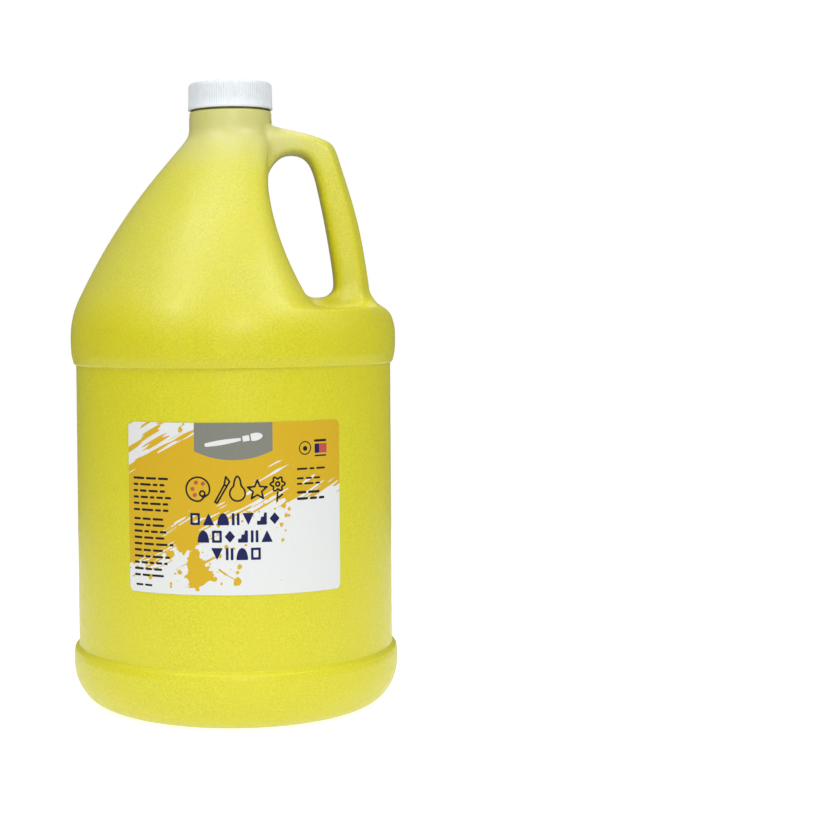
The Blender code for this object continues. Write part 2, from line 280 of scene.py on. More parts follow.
def jug_plastic():
    """Opaque frosted polyethylene, coloured as if yellow paint stood behind it, with a painted whitish
    sheen on the dome in place of the overhead lamps' reflection, and paler still above the paint."""
    n = Nodes("jug_plastic")
    grain = n.noise(1.4, detail=3.0, roughness=0.6)
    cloud = n.noise(0.03, detail=2.0)
    speckle = n.ramp(grain, 0.3, 0.7)
    yellow = n.mix(speckle, (0.515, 0.487, 0.005), (0.650, 0.612, 0.010))
    # The whiter yellow laid on the dome is a painted sheen standing in for the overhead lamps' reflection:
    # it fades in from 178 to 204 mm up and fades out towards the handle, where body also thins the
    # paleness above the paint.
    painted_sheen = n.mix(speckle, (0.515, 0.495, 0.046), (0.650, 0.625, 0.064))
    body = n.ramp(n.axis("X"), 22 * MM, 44 * MM, 1.0, 0.3)
    yellow = n.mix(n.math("MULTIPLY", n.ramp(n.axis("Z"), 178 * MM, 204 * MM), body), yellow, painted_sheen)
    yellow = n.mix(n.ramp(cloud, 0.35, 0.65, 0.0, 0.35), yellow, (0.600, 0.545, 0.008))
    level = n.math("ADD", n.axis("Z"), n.math("MULTIPLY", n.noise(0.08), 8 * MM))
    empty = n.ramp(level, (PAINT_Z - 14) * MM, (PAINT_Z + 10) * MM, 0.0, 0.75)
    colour = n.mix(n.math("MULTIPLY", empty, body), yellow, (0.585, 0.570, 0.230))
    rough = n.ramp(n.noise(0.25, detail=3.0), 0.3, 0.7, 0.34, 0.44)
    n.bump([(n.noise(0.12, detail=2.0), 0.25, 0.5),
            (n.noise(1.1, detail=3.0, roughness=0.65), 0.42, 0.08)])
    return n.set(Base_Color=colour, Roughness=rough, IOR=1.5, Specular_IOR_Level=0.6,
                 Subsurface_Weight=0.18, Subsurface_Radius=(1.0, 0.8, 0.15), Subsurface_Scale=4 * MM)


def cap_plastic():
    """White polypropylene, a little cold."""
    n = Nodes("cap_plastic")
    tone = n.ramp(n.noise(0.4, detail=3.0), 0.3, 0.7)
    colour = n.mix(tone, (0.655, 0.695, 0.725), (0.700, 0.735, 0.765))
    rough = n.ramp(n.noise(0.5, detail=2.0), 0.3, 0.7, 0.36, 0.46)
    n.bump([(n.noise(1.6, detail=3.0), 0.2, 0.05)])
    return n.set(Base_Color=colour, Roughness=rough, IOR=1.49, Subsurface_Weight=0.1,
                 Subsurface_Radius=(1.0, 1.0, 1.0), Subsurface_Scale=1.5 * MM)


def foam():
    """Fine-celled white foam."""
    n = Nodes("liner_foam")
    cells = n.noise(3.0, detail=4.0, roughness=0.7)
    colour = n.mix(n.ramp(cells, 0.3, 0.7), (0.74, 0.74, 0.70), (0.86, 0.86, 0.82))
    n.bump([(cells, 0.5, 0.12)])
    return n.set(Base_Color=colour, Roughness=n.ramp(cells, 0.3, 0.7, 0.7, 0.9))


def wet_paint():
    """Yellow tempera with a wet shine."""
    n = Nodes("wet_paint")
    swirl = n.noise(0.09, detail=3.0, stretch=(1, 0.4, 1))
    colour = n.mix(n.ramp(swirl, 0.35, 0.65), (0.80, 0.66, 0.010), (0.86, 0.76, 0.030))
    n.bump([(n.noise(0.15, detail=1.0), 0.3, 0.3)])
    return n.set(Base_Color=colour, Roughness=n.ramp(swirl, 0.3, 0.7, 0.10, 0.22), IOR=1.45,
                 Coat_Weight=0.5, Coat_Roughness=0.05)


def printed(name, colour, spread, roughness):
    """One ink, or the bare stock, of the label; spread is how far its tone wanders."""
    n = Nodes(name)
    speck = n.noise(2.2, detail=3.0, roughness=0.7)
    darker = tuple(c * (1 - spread) for c in colour)
    lighter = tuple(min(1.0, c * (1 + spread)) for c in colour)
    n.bump([(n.noise(0.9, detail=2.0), 0.12, 0.03)])
    return n.set(Base_Color=n.mix(n.ramp(speck, 0.3, 0.7), darker, lighter), Specular_IOR_Level=0.2,
                 Roughness=n.ramp(n.noise(0.6), 0.3, 0.7, roughness - 0.04, roughness + 0.04))


def studio_floor():
    """Pale paper that glows a little, so that its rim is as white as what is behind it."""
    n = Nodes("studio_floor")
    tone = n.noise(0.004, detail=1.0)
    reach = n.add("ShaderNodeVectorMath", operation="LENGTH")
    n.join(n.place, reach.inputs[0])
    return n.set(Base_Color=n.mix(tone, (0.40, 0.40, 0.40), (0.42, 0.42, 0.42)), Roughness=0.9,
                 Emission_Color=(1.0, 1.0, 1.0),
                 Emission_Strength=n.ramp(reach.outputs["Value"], 0.1, FLOOR_R, 0.82, 0.74))


# ---- jug ----
ARC_STEP = 9              # degrees
LONGEST_ROW = 9.0         # mm between two rings where the wall is straight


def lower_outline():
    """Base, heel, base band and panel, from the middle of the base upwards."""
    path = rounded([
        (0.0, PUSH_UP, 0), (44.0, PUSH_UP - 0.8, 12.0), (STAND_R, 0.0, 3.0),
        (HEEL_R, 0.0, HEEL_FILLET), (BAND_R, 11.2, 22.0), (BAND_R, BAND_TOP_Z, 3.0),
        (BAND_R - 0.6, BAND_TOP_Z + 2.8, 1.0), (PANEL_R, PANEL_Z[0], 0.7),
        (PANEL_R, PANEL_Z[1], 0.4), (PANEL_R + 1.1, PANEL_Z[1] + 0.6, 0.7),
        (BAND_R - 0.3, PANEL_Z[1] + 4.8, 8.0), (BAND_R, BAND_START_Z, 0)], ARC_STEP)
    filled = [path[0]]
    for low, high in zip(path, path[1:]):
        pieces = max(1, round((high - low).length / LONGEST_ROW))
        filled += [low.lerp(high, k / pieces) for k in range(1, pieces + 1)]
    return filled


DOME_PATH = rounded([
    (BAND_R, BAND_START_Z, 0), (BAND_R, SHOULDER_Z, 42.0), (*DOME, DOME_FILLET),
    (COLLAR_R, COLLAR_Z[0], 6.5), (COLLAR_R, COLLAR_Z[1], 0)], 0.5)
DOME_R = np.array([p.x for p in DOME_PATH])
DOME_Z = np.array([p.y for p in DOME_PATH])


def dome_radius(z):
    """The dome's radius at a height."""
    return float(np.interp(z, DOME_Z, DOME_R))


def recess_limit(z):
    """Largest x that the jug reaches beside the handle."""
    rate = RECESS_CURVE if z < RECESS_Z else RECESS_FLARE
    return RECESS_X + rate * (z - RECESS_Z) ** 2


GATHER = ((BAND_TOP_Z, 0.0), (PANEL_Z[1], 0.55), (187.0, 0.6), (203.0, 0.55), (244.0, 0.25),
          (276.0, 0.08), (COLLAR_Z[1] + 2.0, 0.0))


def gather_at(z):
    """How far a ring's points are drawn together on the handle's side; it changes slowly with height."""
    return float(np.interp(z, [step[0] for step in GATHER], [step[1] for step in GATHER]))


def ring_of(z, radius=None, back_z=None, limit=FREE, lift=0.0):
    """A level ring, unless back_z is another height."""
    return Station(z, z if back_z is None else back_z, radius, limit, gather_at(z), lift)


def halfway(low, high):
    """The ring between two rings of the dome."""
    return ring_of((low.z + high.z) / 2, None, (low.back_z + high.back_z) / 2,
                   (low.limit + high.limit) / 2, (low.lift + high.lift) / 2)


def jug_stations():
    """Every ring of the jug from base to mouth, and where the two handle patches begin."""
    rings = [ring_of(p.y, p.x) for p in lower_outline()[1:]]
    coarse = [ring_of(179.0, back_z=175.0, limit=200.0)]
    for z, back_z, limit, lift in ((184.6, 178.0, 98.0, 0.0), (186.4, 180.2, 87.0, 0.2),
                                   (187.6, 182.2, 80.0, 0.6)):
        coarse.append(ring_of(z, back_z=back_z, limit=limit, lift=lift))
    shelf = len(coarse)
    for limit, z, back_z, lift in ((74.0, 188.3, 184.0, 1.2), (65.0, 187.9, 185.8, 0.9),
                                   (56.0, 187.5, 187.6, 1.0), (47.0, 187.6, 189.6, 2.8),
                                   (40.0, 188.4, 192.0, 4.3), (36.6, 190.6, 195.0, 3.0)):
        coarse.append(ring_of(z, back_z=back_z, limit=limit, lift=lift))
    coarse.append(ring_of(195.0, back_z=199.0, limit=recess_limit(195.0), lift=1.0))
    for z in (203.0, 212.0, 222.0, 233.0, 244.0):
        coarse.append(ring_of(z, back_z=max(z, 204.5), limit=recess_limit(z)))
    neck = len(coarse)
    for z in (252.5, 258.0, 264.0, 270.0, 275.6):
        coarse.append(ring_of(z, limit=max(recess_limit(z), ROOT_X)))
    first = len(rings)
    for low, high in zip(coarse, coarse[1:]):
        rings += [low, halfway(low, high)]
    rings.append(coarse[-1])
    rings += [ring_of(276.3, COLLAR_R), ring_of(278.0, COLLAR_R)]
    lip = rounded([(COLLAR_R, 279.0, 0), (COLLAR_R, COLLAR_Z[1], 1.0), (FINISH_R, COLLAR_Z[1], 0.5),
                   (FINISH_R, MOUTH_Z, 0.45), (FINISH_R - 0.5, MOUTH_Z, 0)], 22)
    rings += [ring_of(p.y, p.x) for p in lip[1:]]
    return rings, first + 2 * shelf, first + 2 * neck


def ring_point(ring, index):
    """A point of a ring; gathering draws the points together on the handle's side."""
    even = 2 * math.pi * index / AROUND
    angle = even - ring.gather * math.sin(even)
    toward = max(0.0, math.cos(angle))
    near = min(1.0, (ring.radius or dome_radius(ring.z)) * toward / ring.limit)
    near = near * near * (3 - 2 * near)
    z = ring.back_z + (ring.z - ring.back_z) * near
    radius = ring.radius or dome_radius(z)
    reach = radius * (1 + (radius * toward / ring.limit) ** EDGE_POWER) ** (-1 / EDGE_POWER)
    x, y = reach * math.cos(angle), reach * math.sin(angle)
    web = math.exp(-(y / WEB_HALF) ** 2) if x > 0 else 0.0
    return Vector((x, y, z + ring.lift * web))


# Inner point, outer point (x, z) and depth of the handle's sections, from the neck to its foot.
HANDLE = (
    ((20.6, 257.4), (22.4, 274.6), 21.0), ((25.0, 260.9), (30.3, 272.8), 21.5),
    ((30.5, 261.5), (37.2, 271.0), 22.5), ((34.7, 260.1), (43.2, 269.0), 23.5),
    ((37.4, 257.5), (48.0, 266.6), 24.0), ((39.2, 253.9), (50.5, 262.4), 24.5),
    ((40.7, 249.2), (52.6, 255.7), 25.0), ((42.5, 241.0), (56.1, 244.6), 25.0),
    ((44.4, 231.6), (59.3, 233.4), 25.0), ((46.2, 221.4), (61.9, 222.0), 25.0),
    ((47.9, 210.6), (63.9, 210.2), 25.5), ((49.0, 201.4), (65.4, 200.0), 26.0),
    ((48.7, 196.4), (66.0, 195.2), 27.0), ((45.4, 193.2), (68.4, 191.4), 29.0))


def handle_sections():
    """Inner point, outer point and depth of each section, with a smooth one between each two."""
    rows = [np.array([*inner, *outer, depth]) for inner, outer, depth in HANDLE]
    ends = [2 * rows[0] - rows[1]] + rows + [2 * rows[-1] - rows[-2]]
    sections = []
    for k in range(len(rows)):
        sections.append(rows[k])
        if k + 1 < len(rows):
            sections.append((9 * (rows[k] + rows[k + 1]) - ends[k] - ends[k + 3]) / 16)
    return sections


def patch_steps():
    """Corner-to-corner walk round a patch: outer side, +Y side, inner side, -Y side."""
    across = [-1 + k / PATCH for k in range(2 * PATCH)]
    along = [1 - 2 * k / PATCH_ROWS for k in range(PATCH_ROWS)]
    return ([(1.0, v) for v in across] + [(u, 1.0) for u in along]
            + [(-1.0, -v) for v in across] + [(-u, -1.0) for u in along])


def section_points(row):
    """One closed section of the handle, in the order of patch_steps."""
    low, high = Vector((row[0], 0, row[1])), Vector((row[2], 0, row[3]))
    middle, half = (low + high) / 2, (high - low) / 2
    points = []
    for u, v in patch_steps():
        size = (abs(u) ** SECTION_POWER + abs(v) ** SECTION_POWER) ** (1 / SECTION_POWER)
        past = max(0.0, u / size - RIDGE_AT) / (1 - RIDGE_AT)
        across = row[4] / 2 * v / size * (1 - RIDGE_CUT * past)
        points.append(middle + half * (u / size) + Vector((0, across, 0)))
    return points


def patch_loop(rows, first_row, outer_first):
    """Vertices round a patch, in the order of patch_steps."""
    loop = []
    for u, v in patch_steps():
        step = (1 - u) * PATCH_ROWS / 2 if outer_first else (1 + u) * PATCH_ROWS / 2
        loop.append(rows[first_row + round(step)][round(v * PATCH) % AROUND])
    return loop


def jug_surface():
    """The jug's whole outer skin as one quad surface, open at the mouth."""
    rings, shelf_row, neck_row = jug_stations()
    bm = bmesh.new()
    rows = [[bm.verts.new(ring_point(ring, k)) for k in range(AROUND)] for ring in rings]
    close_disc(bm, rows[0][::-1], PUSH_UP)
    for row, (low, high) in enumerate(zip(rows, rows[1:])):
        joined = (0 <= row - shelf_row < PATCH_ROWS) or (0 <= row - neck_row < PATCH_ROWS)
        for k in range(AROUND):
            side = k if k < AROUND / 2 else k - AROUND
            if joined and -PATCH <= side < PATCH:
                continue
            after = (k + 1) % AROUND
            bm.faces.new((low[k], low[after], high[after], high[k]))
    loops = [patch_loop(rows, neck_row, outer_first=False)]
    loops += [[bm.verts.new(p) for p in section_points(row)] for row in handle_sections()]
    loops.append(patch_loop(rows, shelf_row, outer_first=True))
    for near, far in zip(loops, loops[1:]):
        bridge(bm, near, far)
    bmesh.ops.delete(bm, geom=[v for v in bm.verts if not v.link_faces], context="VERTS")
    bmesh.ops.recalc_face_normals(bm, faces=bm.faces)
    bm.normal_update()
    return bm


MOST_THICKENING = 1.3     # how many walls deep a sharp corner of the lining may sink


def make_jug(finish):
    """The skin and a sunken copy of it as the lining, joined at the mouth."""
    bm = jug_surface()
    mouth = [e for e in bm.edges if e.is_boundary]
    lining = bmesh.ops.duplicate(bm, geom=list(bm.verts) + list(bm.edges) + list(bm.faces))
    inner = of_kind(lining["geom"], bmesh.types.BMFace)
    shifts = [(v, v.normal * WALL * min(v.calc_shell_factor(), MOST_THICKENING))
              for v in of_kind(lining["geom"], bmesh.types.BMVert)]
    for vert, shift in shifts:
        vert.co -= shift
    bmesh.ops.reverse_faces(bm, faces=inner)
    mouth += [e for f in inner for e in f.edges if e.is_boundary]
    bmesh.ops.bridge_loops(bm, edges=mouth)
    jug = solid("jug_shell", bm, finish)
    fine = jug.modifiers.new("fine", "SUBSURF")
    fine.levels = fine.render_levels = 1
    return jug


# ---- threads ----
def helix(name, hidden_r, root_r, crest_r, root_width, crest_width, start_z, start_deg, turns,
          finish):
    """A closed rounded ridge along a screw line, fading in and out at its ends."""
    steps = round(turns * THREAD_STEPS)
    bm = bmesh.new()
    sections = []
    for k in range(steps + 1):
        degrees = 360 * turns * k / steps
        fade = min(1.0, degrees / THREAD_LEAD, (360 * turns - degrees) / THREAD_LEAD)
        fade = 0.05 + 0.95 * math.sin(fade * math.pi / 2)
        angle = math.radians(start_deg + degrees)
        z = start_z + PITCH * degrees / 360
        crest = root_r + (crest_r - root_r) * fade
        outline = [(hidden_r, -root_width / 2), (root_r, -root_width / 2),
                   (root_r + (crest - root_r) * 0.82, -crest_width / 2 - 0.15),
                   (crest, -crest_width / 2 + 0.2), (crest, crest_width / 2 - 0.2),
                   (root_r + (crest - root_r) * 0.82, crest_width / 2 + 0.15),
                   (root_r, root_width / 2), (hidden_r, root_width / 2)]
        sections.append([bm.verts.new((r * math.cos(angle), r * math.sin(angle), z + dz))
                         for r, dz in outline])
    for near, far in zip(sections, sections[1:]):
        bridge(bm, near, far)
    bm.faces.new(sections[0])
    bm.faces.new(sections[-1])
    return solid(name, bm, finish)


# ---- mould seams ----
SEAM_CENTRE = Vector((0.0, 0.0, 215.0))  # the handle's seam is found by looking in towards here
SEAM_LOW = 8.0
SEAM_LEFT_TOP = 280.5
SEAM_RIGHT_TOP = 180.0    # above here the seam runs over the handle
SEAM_STEP = 1.5
HANDLE_SEAM_END = 73      # degrees above level, seen from SEAM_CENTRE
HANDLE_SEAM_STEP = 1.1
OUTSIDE = 120             # mm from the axis, clear of the jug


def seam(name, hits, half_width, proud, finish):
    """A low rounded ridge through (point, normal) pairs that lie in the plane y = 0."""
    bm = bmesh.new()
    outline = ((-1.0, -0.35), (-0.55, 0.55), (0.0, 1.0), (0.55, 0.55), (1.0, -0.35))
    rows = []
    for point, normal in hits:
        rows.append([bm.verts.new(point + normal * out * proud + Vector((0, side * half_width, 0)))
                     for side, out in outline])
    for near, far in zip(rows, rows[1:]):
        for k in range(len(outline) - 1):
            bm.faces.new((near[k], near[k + 1], far[k + 1], far[k]))
    bm.faces.new(rows[0])
    bm.faces.new(rows[-1])
    return solid(name, bm, finish)


def make_seams(jug, finish):
    """The mould's parting line up both sides and over the handle, and the pinch-off underneath."""
    tree = BVHTree.FromObject(jug, bpy.context.evaluated_depsgraph_get())

    def touch(start, towards):
        place, normal, _, _ = tree.ray_cast(start * MM, (towards - start).normalized())
        return place / MM, Vector((normal.x, 0, normal.z)).normalized()

    left = [touch(Vector((-OUTSIDE, 0, z)), Vector((0, 0, z)))
            for z in np.arange(SEAM_LOW, SEAM_LEFT_TOP, SEAM_STEP)]
    right = [touch(Vector((OUTSIDE, 0, z)), Vector((0, 0, z)))
             for z in np.arange(SEAM_LOW, SEAM_RIGHT_TOP, SEAM_STEP)]
    bearing = math.atan2(SEAM_RIGHT_TOP - SEAM_CENTRE.z, BAND_R)
    while bearing < math.radians(HANDLE_SEAM_END):
        far = SEAM_CENTRE + 200 * Vector((math.cos(bearing), 0, math.sin(bearing)))
        right.append(touch(far, SEAM_CENTRE))
        bearing += math.radians(HANDLE_SEAM_STEP)
    under = [touch(Vector((x, 0, -30)), Vector((x, 0, 0))) for x in np.arange(-40.0, 40.1, 2.0)]
    return [seam("seam_left", left, 0.45, 0.16, finish),
            seam("seam_right", right, 0.45, 0.16, finish),
            seam("pinch_off", under, 1.1, 0.55, finish)]


# ---- cap, liner, paint ----
RIBS = 110
RIB_POINTS = 8            # points across one rib
RIB_DEPTH = 0.18
CAP_BORE = 18.9
CAP_TOP = 1.3             # thickness of the cap's top
LINER_R = 18.3


def make_cap(finish):
    """Ribbed cap with a plain rim, rounded top edge and a bore that carries its thread."""
    top, low = CAP_HIGH, CAP_LOW
    path = rounded([
        (0.4, top - CAP_TOP, 0), (CAP_BORE, top - CAP_TOP, 0.8), (CAP_BORE, low, 0.3),
        (CAP_R, low, 0.25), (CAP_R, low + 1.1, 0.15), (CAP_R - 0.15, low + 1.4, 0),
        (CAP_R - 0.2, low + 5.0, 0), (CAP_R - 0.3, top - 3.2, 0), (CAP_R - 0.4, top, 1.9),
        (16.6, top, 0.3), (16.2, top - 0.16, 0.3), (0.4, top - 0.16, 0)], 18)
    inner_rows = sum(1 for p in path if p.x <= CAP_BORE + 0.5 and p.y < top - CAP_TOP + 0.01)

    def ribbed(r, row, angle):
        point = path[row]
        if r < CAP_R - 2.4 or row < inner_rows:
            return r
        rise = min(1.0, max(0.0, (point.y - low - 1.05) / 0.35))
        fall = min(1.0, max(0.0, (top - 0.5 - point.y) / 1.2))
        wave = 0.5 - 0.5 * math.cos(RIBS * angle)
        return r - RIB_DEPTH * wave ** 0.7 * rise * fall

    bm, rows = turned(path, RIBS * RIB_POINTS, ribbed)
    bm.faces.new(rows[0])
    bm.faces.new(rows[-1])
    bmesh.ops.triangulate(bm, faces=[f for f in bm.faces if len(f.verts) > 4])
    cap = solid("cap_shell", bm, finish)
    cap.data.set_sharp_from_angle(angle=math.radians(50))
    return cap


def make_liner(finish):
    """Foam disc with soft edges and the ring that the mouth has pressed into it."""
    path = rounded([
        (0.3, LINER_LOW, 0), (16.0, LINER_LOW, 0.4), (16.3, LINER_LOW + 0.12, 0.3),
        (17.5, LINER_LOW + 0.12, 0.3), (17.8, LINER_LOW, 0.3), (LINER_R, LINER_LOW, 0.25),
        (LINER_R, LINER_HIGH, 0.25), (0.3, LINER_HIGH, 0)], 20)
    bm, rows = turned(path, 96)
    close_disc(bm, rows[0], LINER_LOW)
    close_disc(bm, rows[-1], LINER_HIGH)
    return solid("liner_disc", bm, finish)


# ---- label ----
# s runs along the sheet from its middle and t up from its lower edge, in mm. A print is a
# signed field over (s, t), above zero inside its outline.
LABEL_W = 102.0
LABEL_H = LABEL_HIGH - LABEL_LOW
LABEL_R = PANEL_R + 0.12
LABEL_CORNER = 2.6
SHEET_THICK = 0.16
CELL = 0.36
EMPTY = -9.0              # a field that prints nothing


class Lattice:
    """Smooth seeded noise in the plane, between -1 and 1."""

    def __init__(self, seed):
        self.table = np.random.RandomState(seed).uniform(-1, 1, (256, 256))

    def __call__(self, x, y):
        xi, yi = np.floor(x).astype(int), np.floor(y).astype(int)
        fx, fy = x - xi, y - yi
        fx, fy = fx * fx * (3 - 2 * fx), fy * fy * (3 - 2 * fy)

        def at(dx, dy):
            return self.table[(xi + dx) % 256, (yi + dy) % 256]

        low = at(0, 0) * (1 - fx) + at(1, 0) * fx
        high = at(0, 1) * (1 - fx) + at(1, 1) * fx
        return low * (1 - fy) + high * fy


def block(s, t, left, low, right, high, corner=0.0):
    """How far inside a rounded rectangle each point is."""
    dx = np.abs(s - (left + right) / 2) - (right - left) / 2 + corner
    dy = np.abs(t - (low + high) / 2) - (high - low) / 2 + corner
    outside = np.hypot(np.maximum(dx, 0), np.maximum(dy, 0))
    return corner - outside - np.minimum(np.maximum(dx, dy), 0)


def disc(s, t, x, y, radius):
    """How far inside a disc each point is."""
    return radius - np.hypot(s - x, t - y)


def stroke(s, t, points, width):
    """How far inside a drawn line of that width each point is."""
    nearest = np.full(s.shape, 1e9)
    for a, b in zip(points, points[1:]):
        run = b - a
        along = ((s - a[0]) * run[0] + (t - a[1]) * run[1]) / max(run @ run, 1e-9)
        along = np.clip(along, 0, 1)
        nearest = np.minimum(nearest, np.hypot(s - a[0] - along * run[0], t - a[1] - along * run[1]))
    return width / 2 - nearest


def splat(s, t, x, y, radius, random, spikes=0):
    """A wobbly drop, with a crown of thin spikes if asked."""
    angle = np.arctan2(t - y, s - x)
    edge = radius * (1 + 0.10 * np.sin(2 * angle + random.uniform(0, 6))
                     + 0.07 * np.sin(3 * angle + random.uniform(0, 6))
                     + 0.05 * np.sin(5 * angle + random.uniform(0, 6)))
    for _ in range(spikes):
        aim, reach = random.uniform(-math.pi, math.pi), random.uniform(0.08, 0.34)
        turn = np.abs((angle - aim + math.pi) % (2 * math.pi) - math.pi)
        edge = edge + radius * reach * np.exp(-(turn / random.uniform(0.06, 0.14)) ** 2)
    return edge - np.hypot(s - x, t - y)


SCRATCH_LINE = 40.0       # where the bare streaks run, measured across the brush stroke

FIELD_EDGE = ((-51, 13), (-38, 17), (-22, 24), (-3, 36), (8, 40), (22, 45), (36, 47), (51, 46))
DROPS = ((22.2, 39.1, 1.1), (24.6, 37.5, 0.8), (23.2, 34.8, 0.9), (21.0, 30.7, 0.9), (21.5, 23.9, 0.8),
         (22.9, 28.1, 0.5), (2.0, 12.6, 1.1), (1.1, 10.1, 0.8), (-9.0, 7.1, 1.1), (-25.0, 9.9, 1.1),
         (-39.6, 7.1, 1.2), (-16.8, 2.5, 0.9), (-3.7, 21.3, 1.0), (-24.0, 73.0, 1.1))


def brushed_field(s, t):
    """The orange area: a broad slanting brush stroke with bristle marks, drops and splats."""
    slope = math.radians(28)
    along = s * math.cos(slope) + t * math.sin(slope)
    across = -s * math.sin(slope) + t * math.cos(slope)
    bristle = Lattice(5)(along / 14, across / 0.7) * 0.6 + Lattice(8)(along / 7, across / 0.45) * 0.4
    patchy = Lattice(11)(along / 9, across / 6)
    edge_s, edge_t = zip(*FIELD_EDGE)
    # the stroke's two edges, frayed by the bristles, and a torn patch in the upper left corner
    lower = np.interp(s, edge_s, edge_t)
    upper = 71.5 + 0.42 * (s + 19) - 0.002 * (s + 19) ** 2
    below = t - lower + 6.5 * bristle + 3.0 * patchy
    above = upper - t + 6.0 * bristle + 2.0 * patchy
    above = np.where(s > -17, 50.0, above)
    field = np.minimum(below, above)
    corner = 2.6 * bristle + 0.9 * patchy - 0.62
    field = np.maximum(field, np.where((s < -22) & (t > 52), corner, EMPTY))
    # the bare streaks, then torn patches below the stroke on the left
    worn = np.exp(-((across - SCRATCH_LINE) / 3.4) ** 2) * (np.abs(s + 3.0) < 30)
    worn = worn * (1 - 0.7 * np.exp(-((s - 1.0) / 10) ** 2)) + 0.04
    field = np.minimum(field, 0.5 / worn - 1.7 * bristle - 0.8 * patchy)
    lowest = 2.6 * bristle + 1.2 * patchy - 1.25
    field = np.maximum(field, np.where((s < -6) & (t > 3) & (t < 30), lowest, EMPTY))
    # big splats, the larger drops and then a fine spray below the stroke
    random = np.random.RandomState(21)
    for x, y, radius, spikes in ((-21.5, 25.0, 5.6, 12), (-16.5, 9.6, 5.4, 24), (-18.0, 17.5, 2.6, 8),
                                 (-29.5, 17.5, 1.9, 7)):
        field = np.maximum(field, splat(s, t, x, y, radius, random, spikes))
    for x, y, radius in DROPS:
        field = np.maximum(field, splat(s, t, x, y, radius, random))
    for _ in range(150):
        x = random.uniform(-49, 26)
        drop = random.exponential(7.5)
        y = np.interp(x, edge_s, edge_t) - drop
        radius = min(0.9, 0.2 + random.exponential(0.2))
        if 2 < y < 60:
            field = np.maximum(field, splat(s, t, x, y, radius, random))
    tail = stroke(s, t, np.array([(-7.0, 11.4), (-4.0, 9.2)]), 0.9)
    thread = stroke(s, t, np.array([(-4.0, 9.2), (1.0, 6.4)]), 0.45)
    return np.maximum.reduce([field, tail, thread, splat(s, t, 1.0, 6.0, 1.8, random)])


def word_dashes(s, t, left, right, first, step, count, height, seed):
    """Lines of short dashes, spaced as words are."""
    random = np.random.RandomState(seed)
    field = np.full(s.shape, EMPTY)
    for line in range(count):
        y = first - step * line
        x = left
        stop = right - random.uniform(0, (right - left) * 0.3)
        while x < stop - 1.5:
            width = min(random.uniform(2.2, 6.2), stop - x)
            field = np.maximum(field, block(s, t, x, y - height / 2, x + width, y + height / 2, 0.35))
            x += width + 0.95
    return field


def block_shape(kind, x, y, half_width, half_height):
    """One solid of a child's building blocks, as a signed field of local coordinates."""
    slant = half_width / (2 * half_height)
    if kind == "roof":
        return (half_width - np.abs(x) - slant * (y + half_height)) * 0.8
    if kind == "funnel":
        return (half_width - np.abs(x) + slant * (y - half_height)) * 0.8
    if kind == "diamond":
        return (1 - np.abs(x) / half_width - np.abs(y) / half_height) * half_width * 0.7
    if kind == "frame":
        return 0.55 - np.abs(np.maximum(np.abs(x) - half_width, np.abs(y) - half_height) + 0.55)
    if kind == "posts":
        return np.minimum(0.62 - np.abs(np.abs(x) - half_width + 0.62), half_height - np.abs(y))
    if kind == "steps":
        rise = np.where(x < -half_width / 3, -1 / 3, np.where(x < half_width / 3, 1 / 3, 1))
        return np.minimum(rise * half_height - y, half_width - np.abs(x))
    return np.minimum(half_height * 2 - np.hypot(x * 2 * half_height / half_width, y + half_height), 9)


def block_row(s, t, middle, low, height, kinds, gap=1.25):
    """A row of building blocks, each on the same base line."""
    widths = {"posts": 3.4, "frame": 4.4, "diamond": 4.6, "steps": 4.4}
    sizes = [widths.get(kind, 5.2) for kind in kinds]
    x = middle - (sum(sizes) + gap * (len(sizes) - 1)) / 2
    field = np.full(s.shape, EMPTY)
    for kind, width in zip(kinds, sizes):
        shape = block_shape(kind, s - x - width / 2, t - low - height / 2, width / 2, height / 2)
        shape = np.minimum(shape, np.minimum(t - low, low + height - t))
        field = np.maximum(field, shape)
        x += width + gap
    return field


def closed_line(s, t, x, y, radius_at, width, count=90):
    """A thin closed line whose distance from (x, y) is radius_at(angle)."""
    points = []
    for k in range(count + 1):
        angle = 2 * math.pi * k / count
        reach = radius_at(angle)
        points.append(np.array([x + reach * math.cos(angle), y + reach * math.sin(angle)]))
    return stroke(s, t, points, width)


def craft_row(s, t, y, width):
    """Thin-line drawings of things from a paint box: palette, brush, drop, star and flower."""
    def star(angle):
        turn = (angle - math.pi / 2) % (2 * math.pi / 5)
        tip, notch, half = 4.6, 2.0, math.pi / 5
        turn = min(turn, 2 * half - turn)
        return tip * notch * math.sin(half) / (tip * math.sin(turn) + notch * math.sin(half - turn))

    lines = [
        closed_line(s, t, -16.2, y, lambda a: 5.3 - 0.9 * math.exp(-((a - 5.4) / 0.35) ** 2), width),
        closed_line(s, t, -14.2, y - 1.9, lambda a: 1.15, width),
        closed_line(s, t, 1.4, y - 1.8, lambda a: 3.4 + 4.1 * math.exp(-((a - 1.571) / 0.30) ** 2), width),
        closed_line(s, t, 10.2, y - 0.6, star, width, count=100),
        closed_line(s, t, 19.4, y + 1.9, lambda a: 2.8 + 0.6 * math.cos(6 * a), width),
        closed_line(s, t, 19.4, y + 1.9, lambda a: 0.9, width)]
    for path in (((-8.6, -5.6), (-4.4, 2.0)), ((-7.6, -6.1), (-3.2, 1.4)), ((-8.6, -5.6), (-7.6, -6.1)),
                 ((-4.4, 2.0), (-3.7, 5.6), (-2.0, 3.4), (-3.2, 1.4), (-4.4, 2.0)),
                 ((19.4, -1.6), (19.0, -5.8)), ((19.1, -4.6), (21.5, -2.8))):
        lines.append(stroke(s, t, [np.array([x, y + dy]) for x, dy in path], width))
    return np.maximum.reduce(lines)


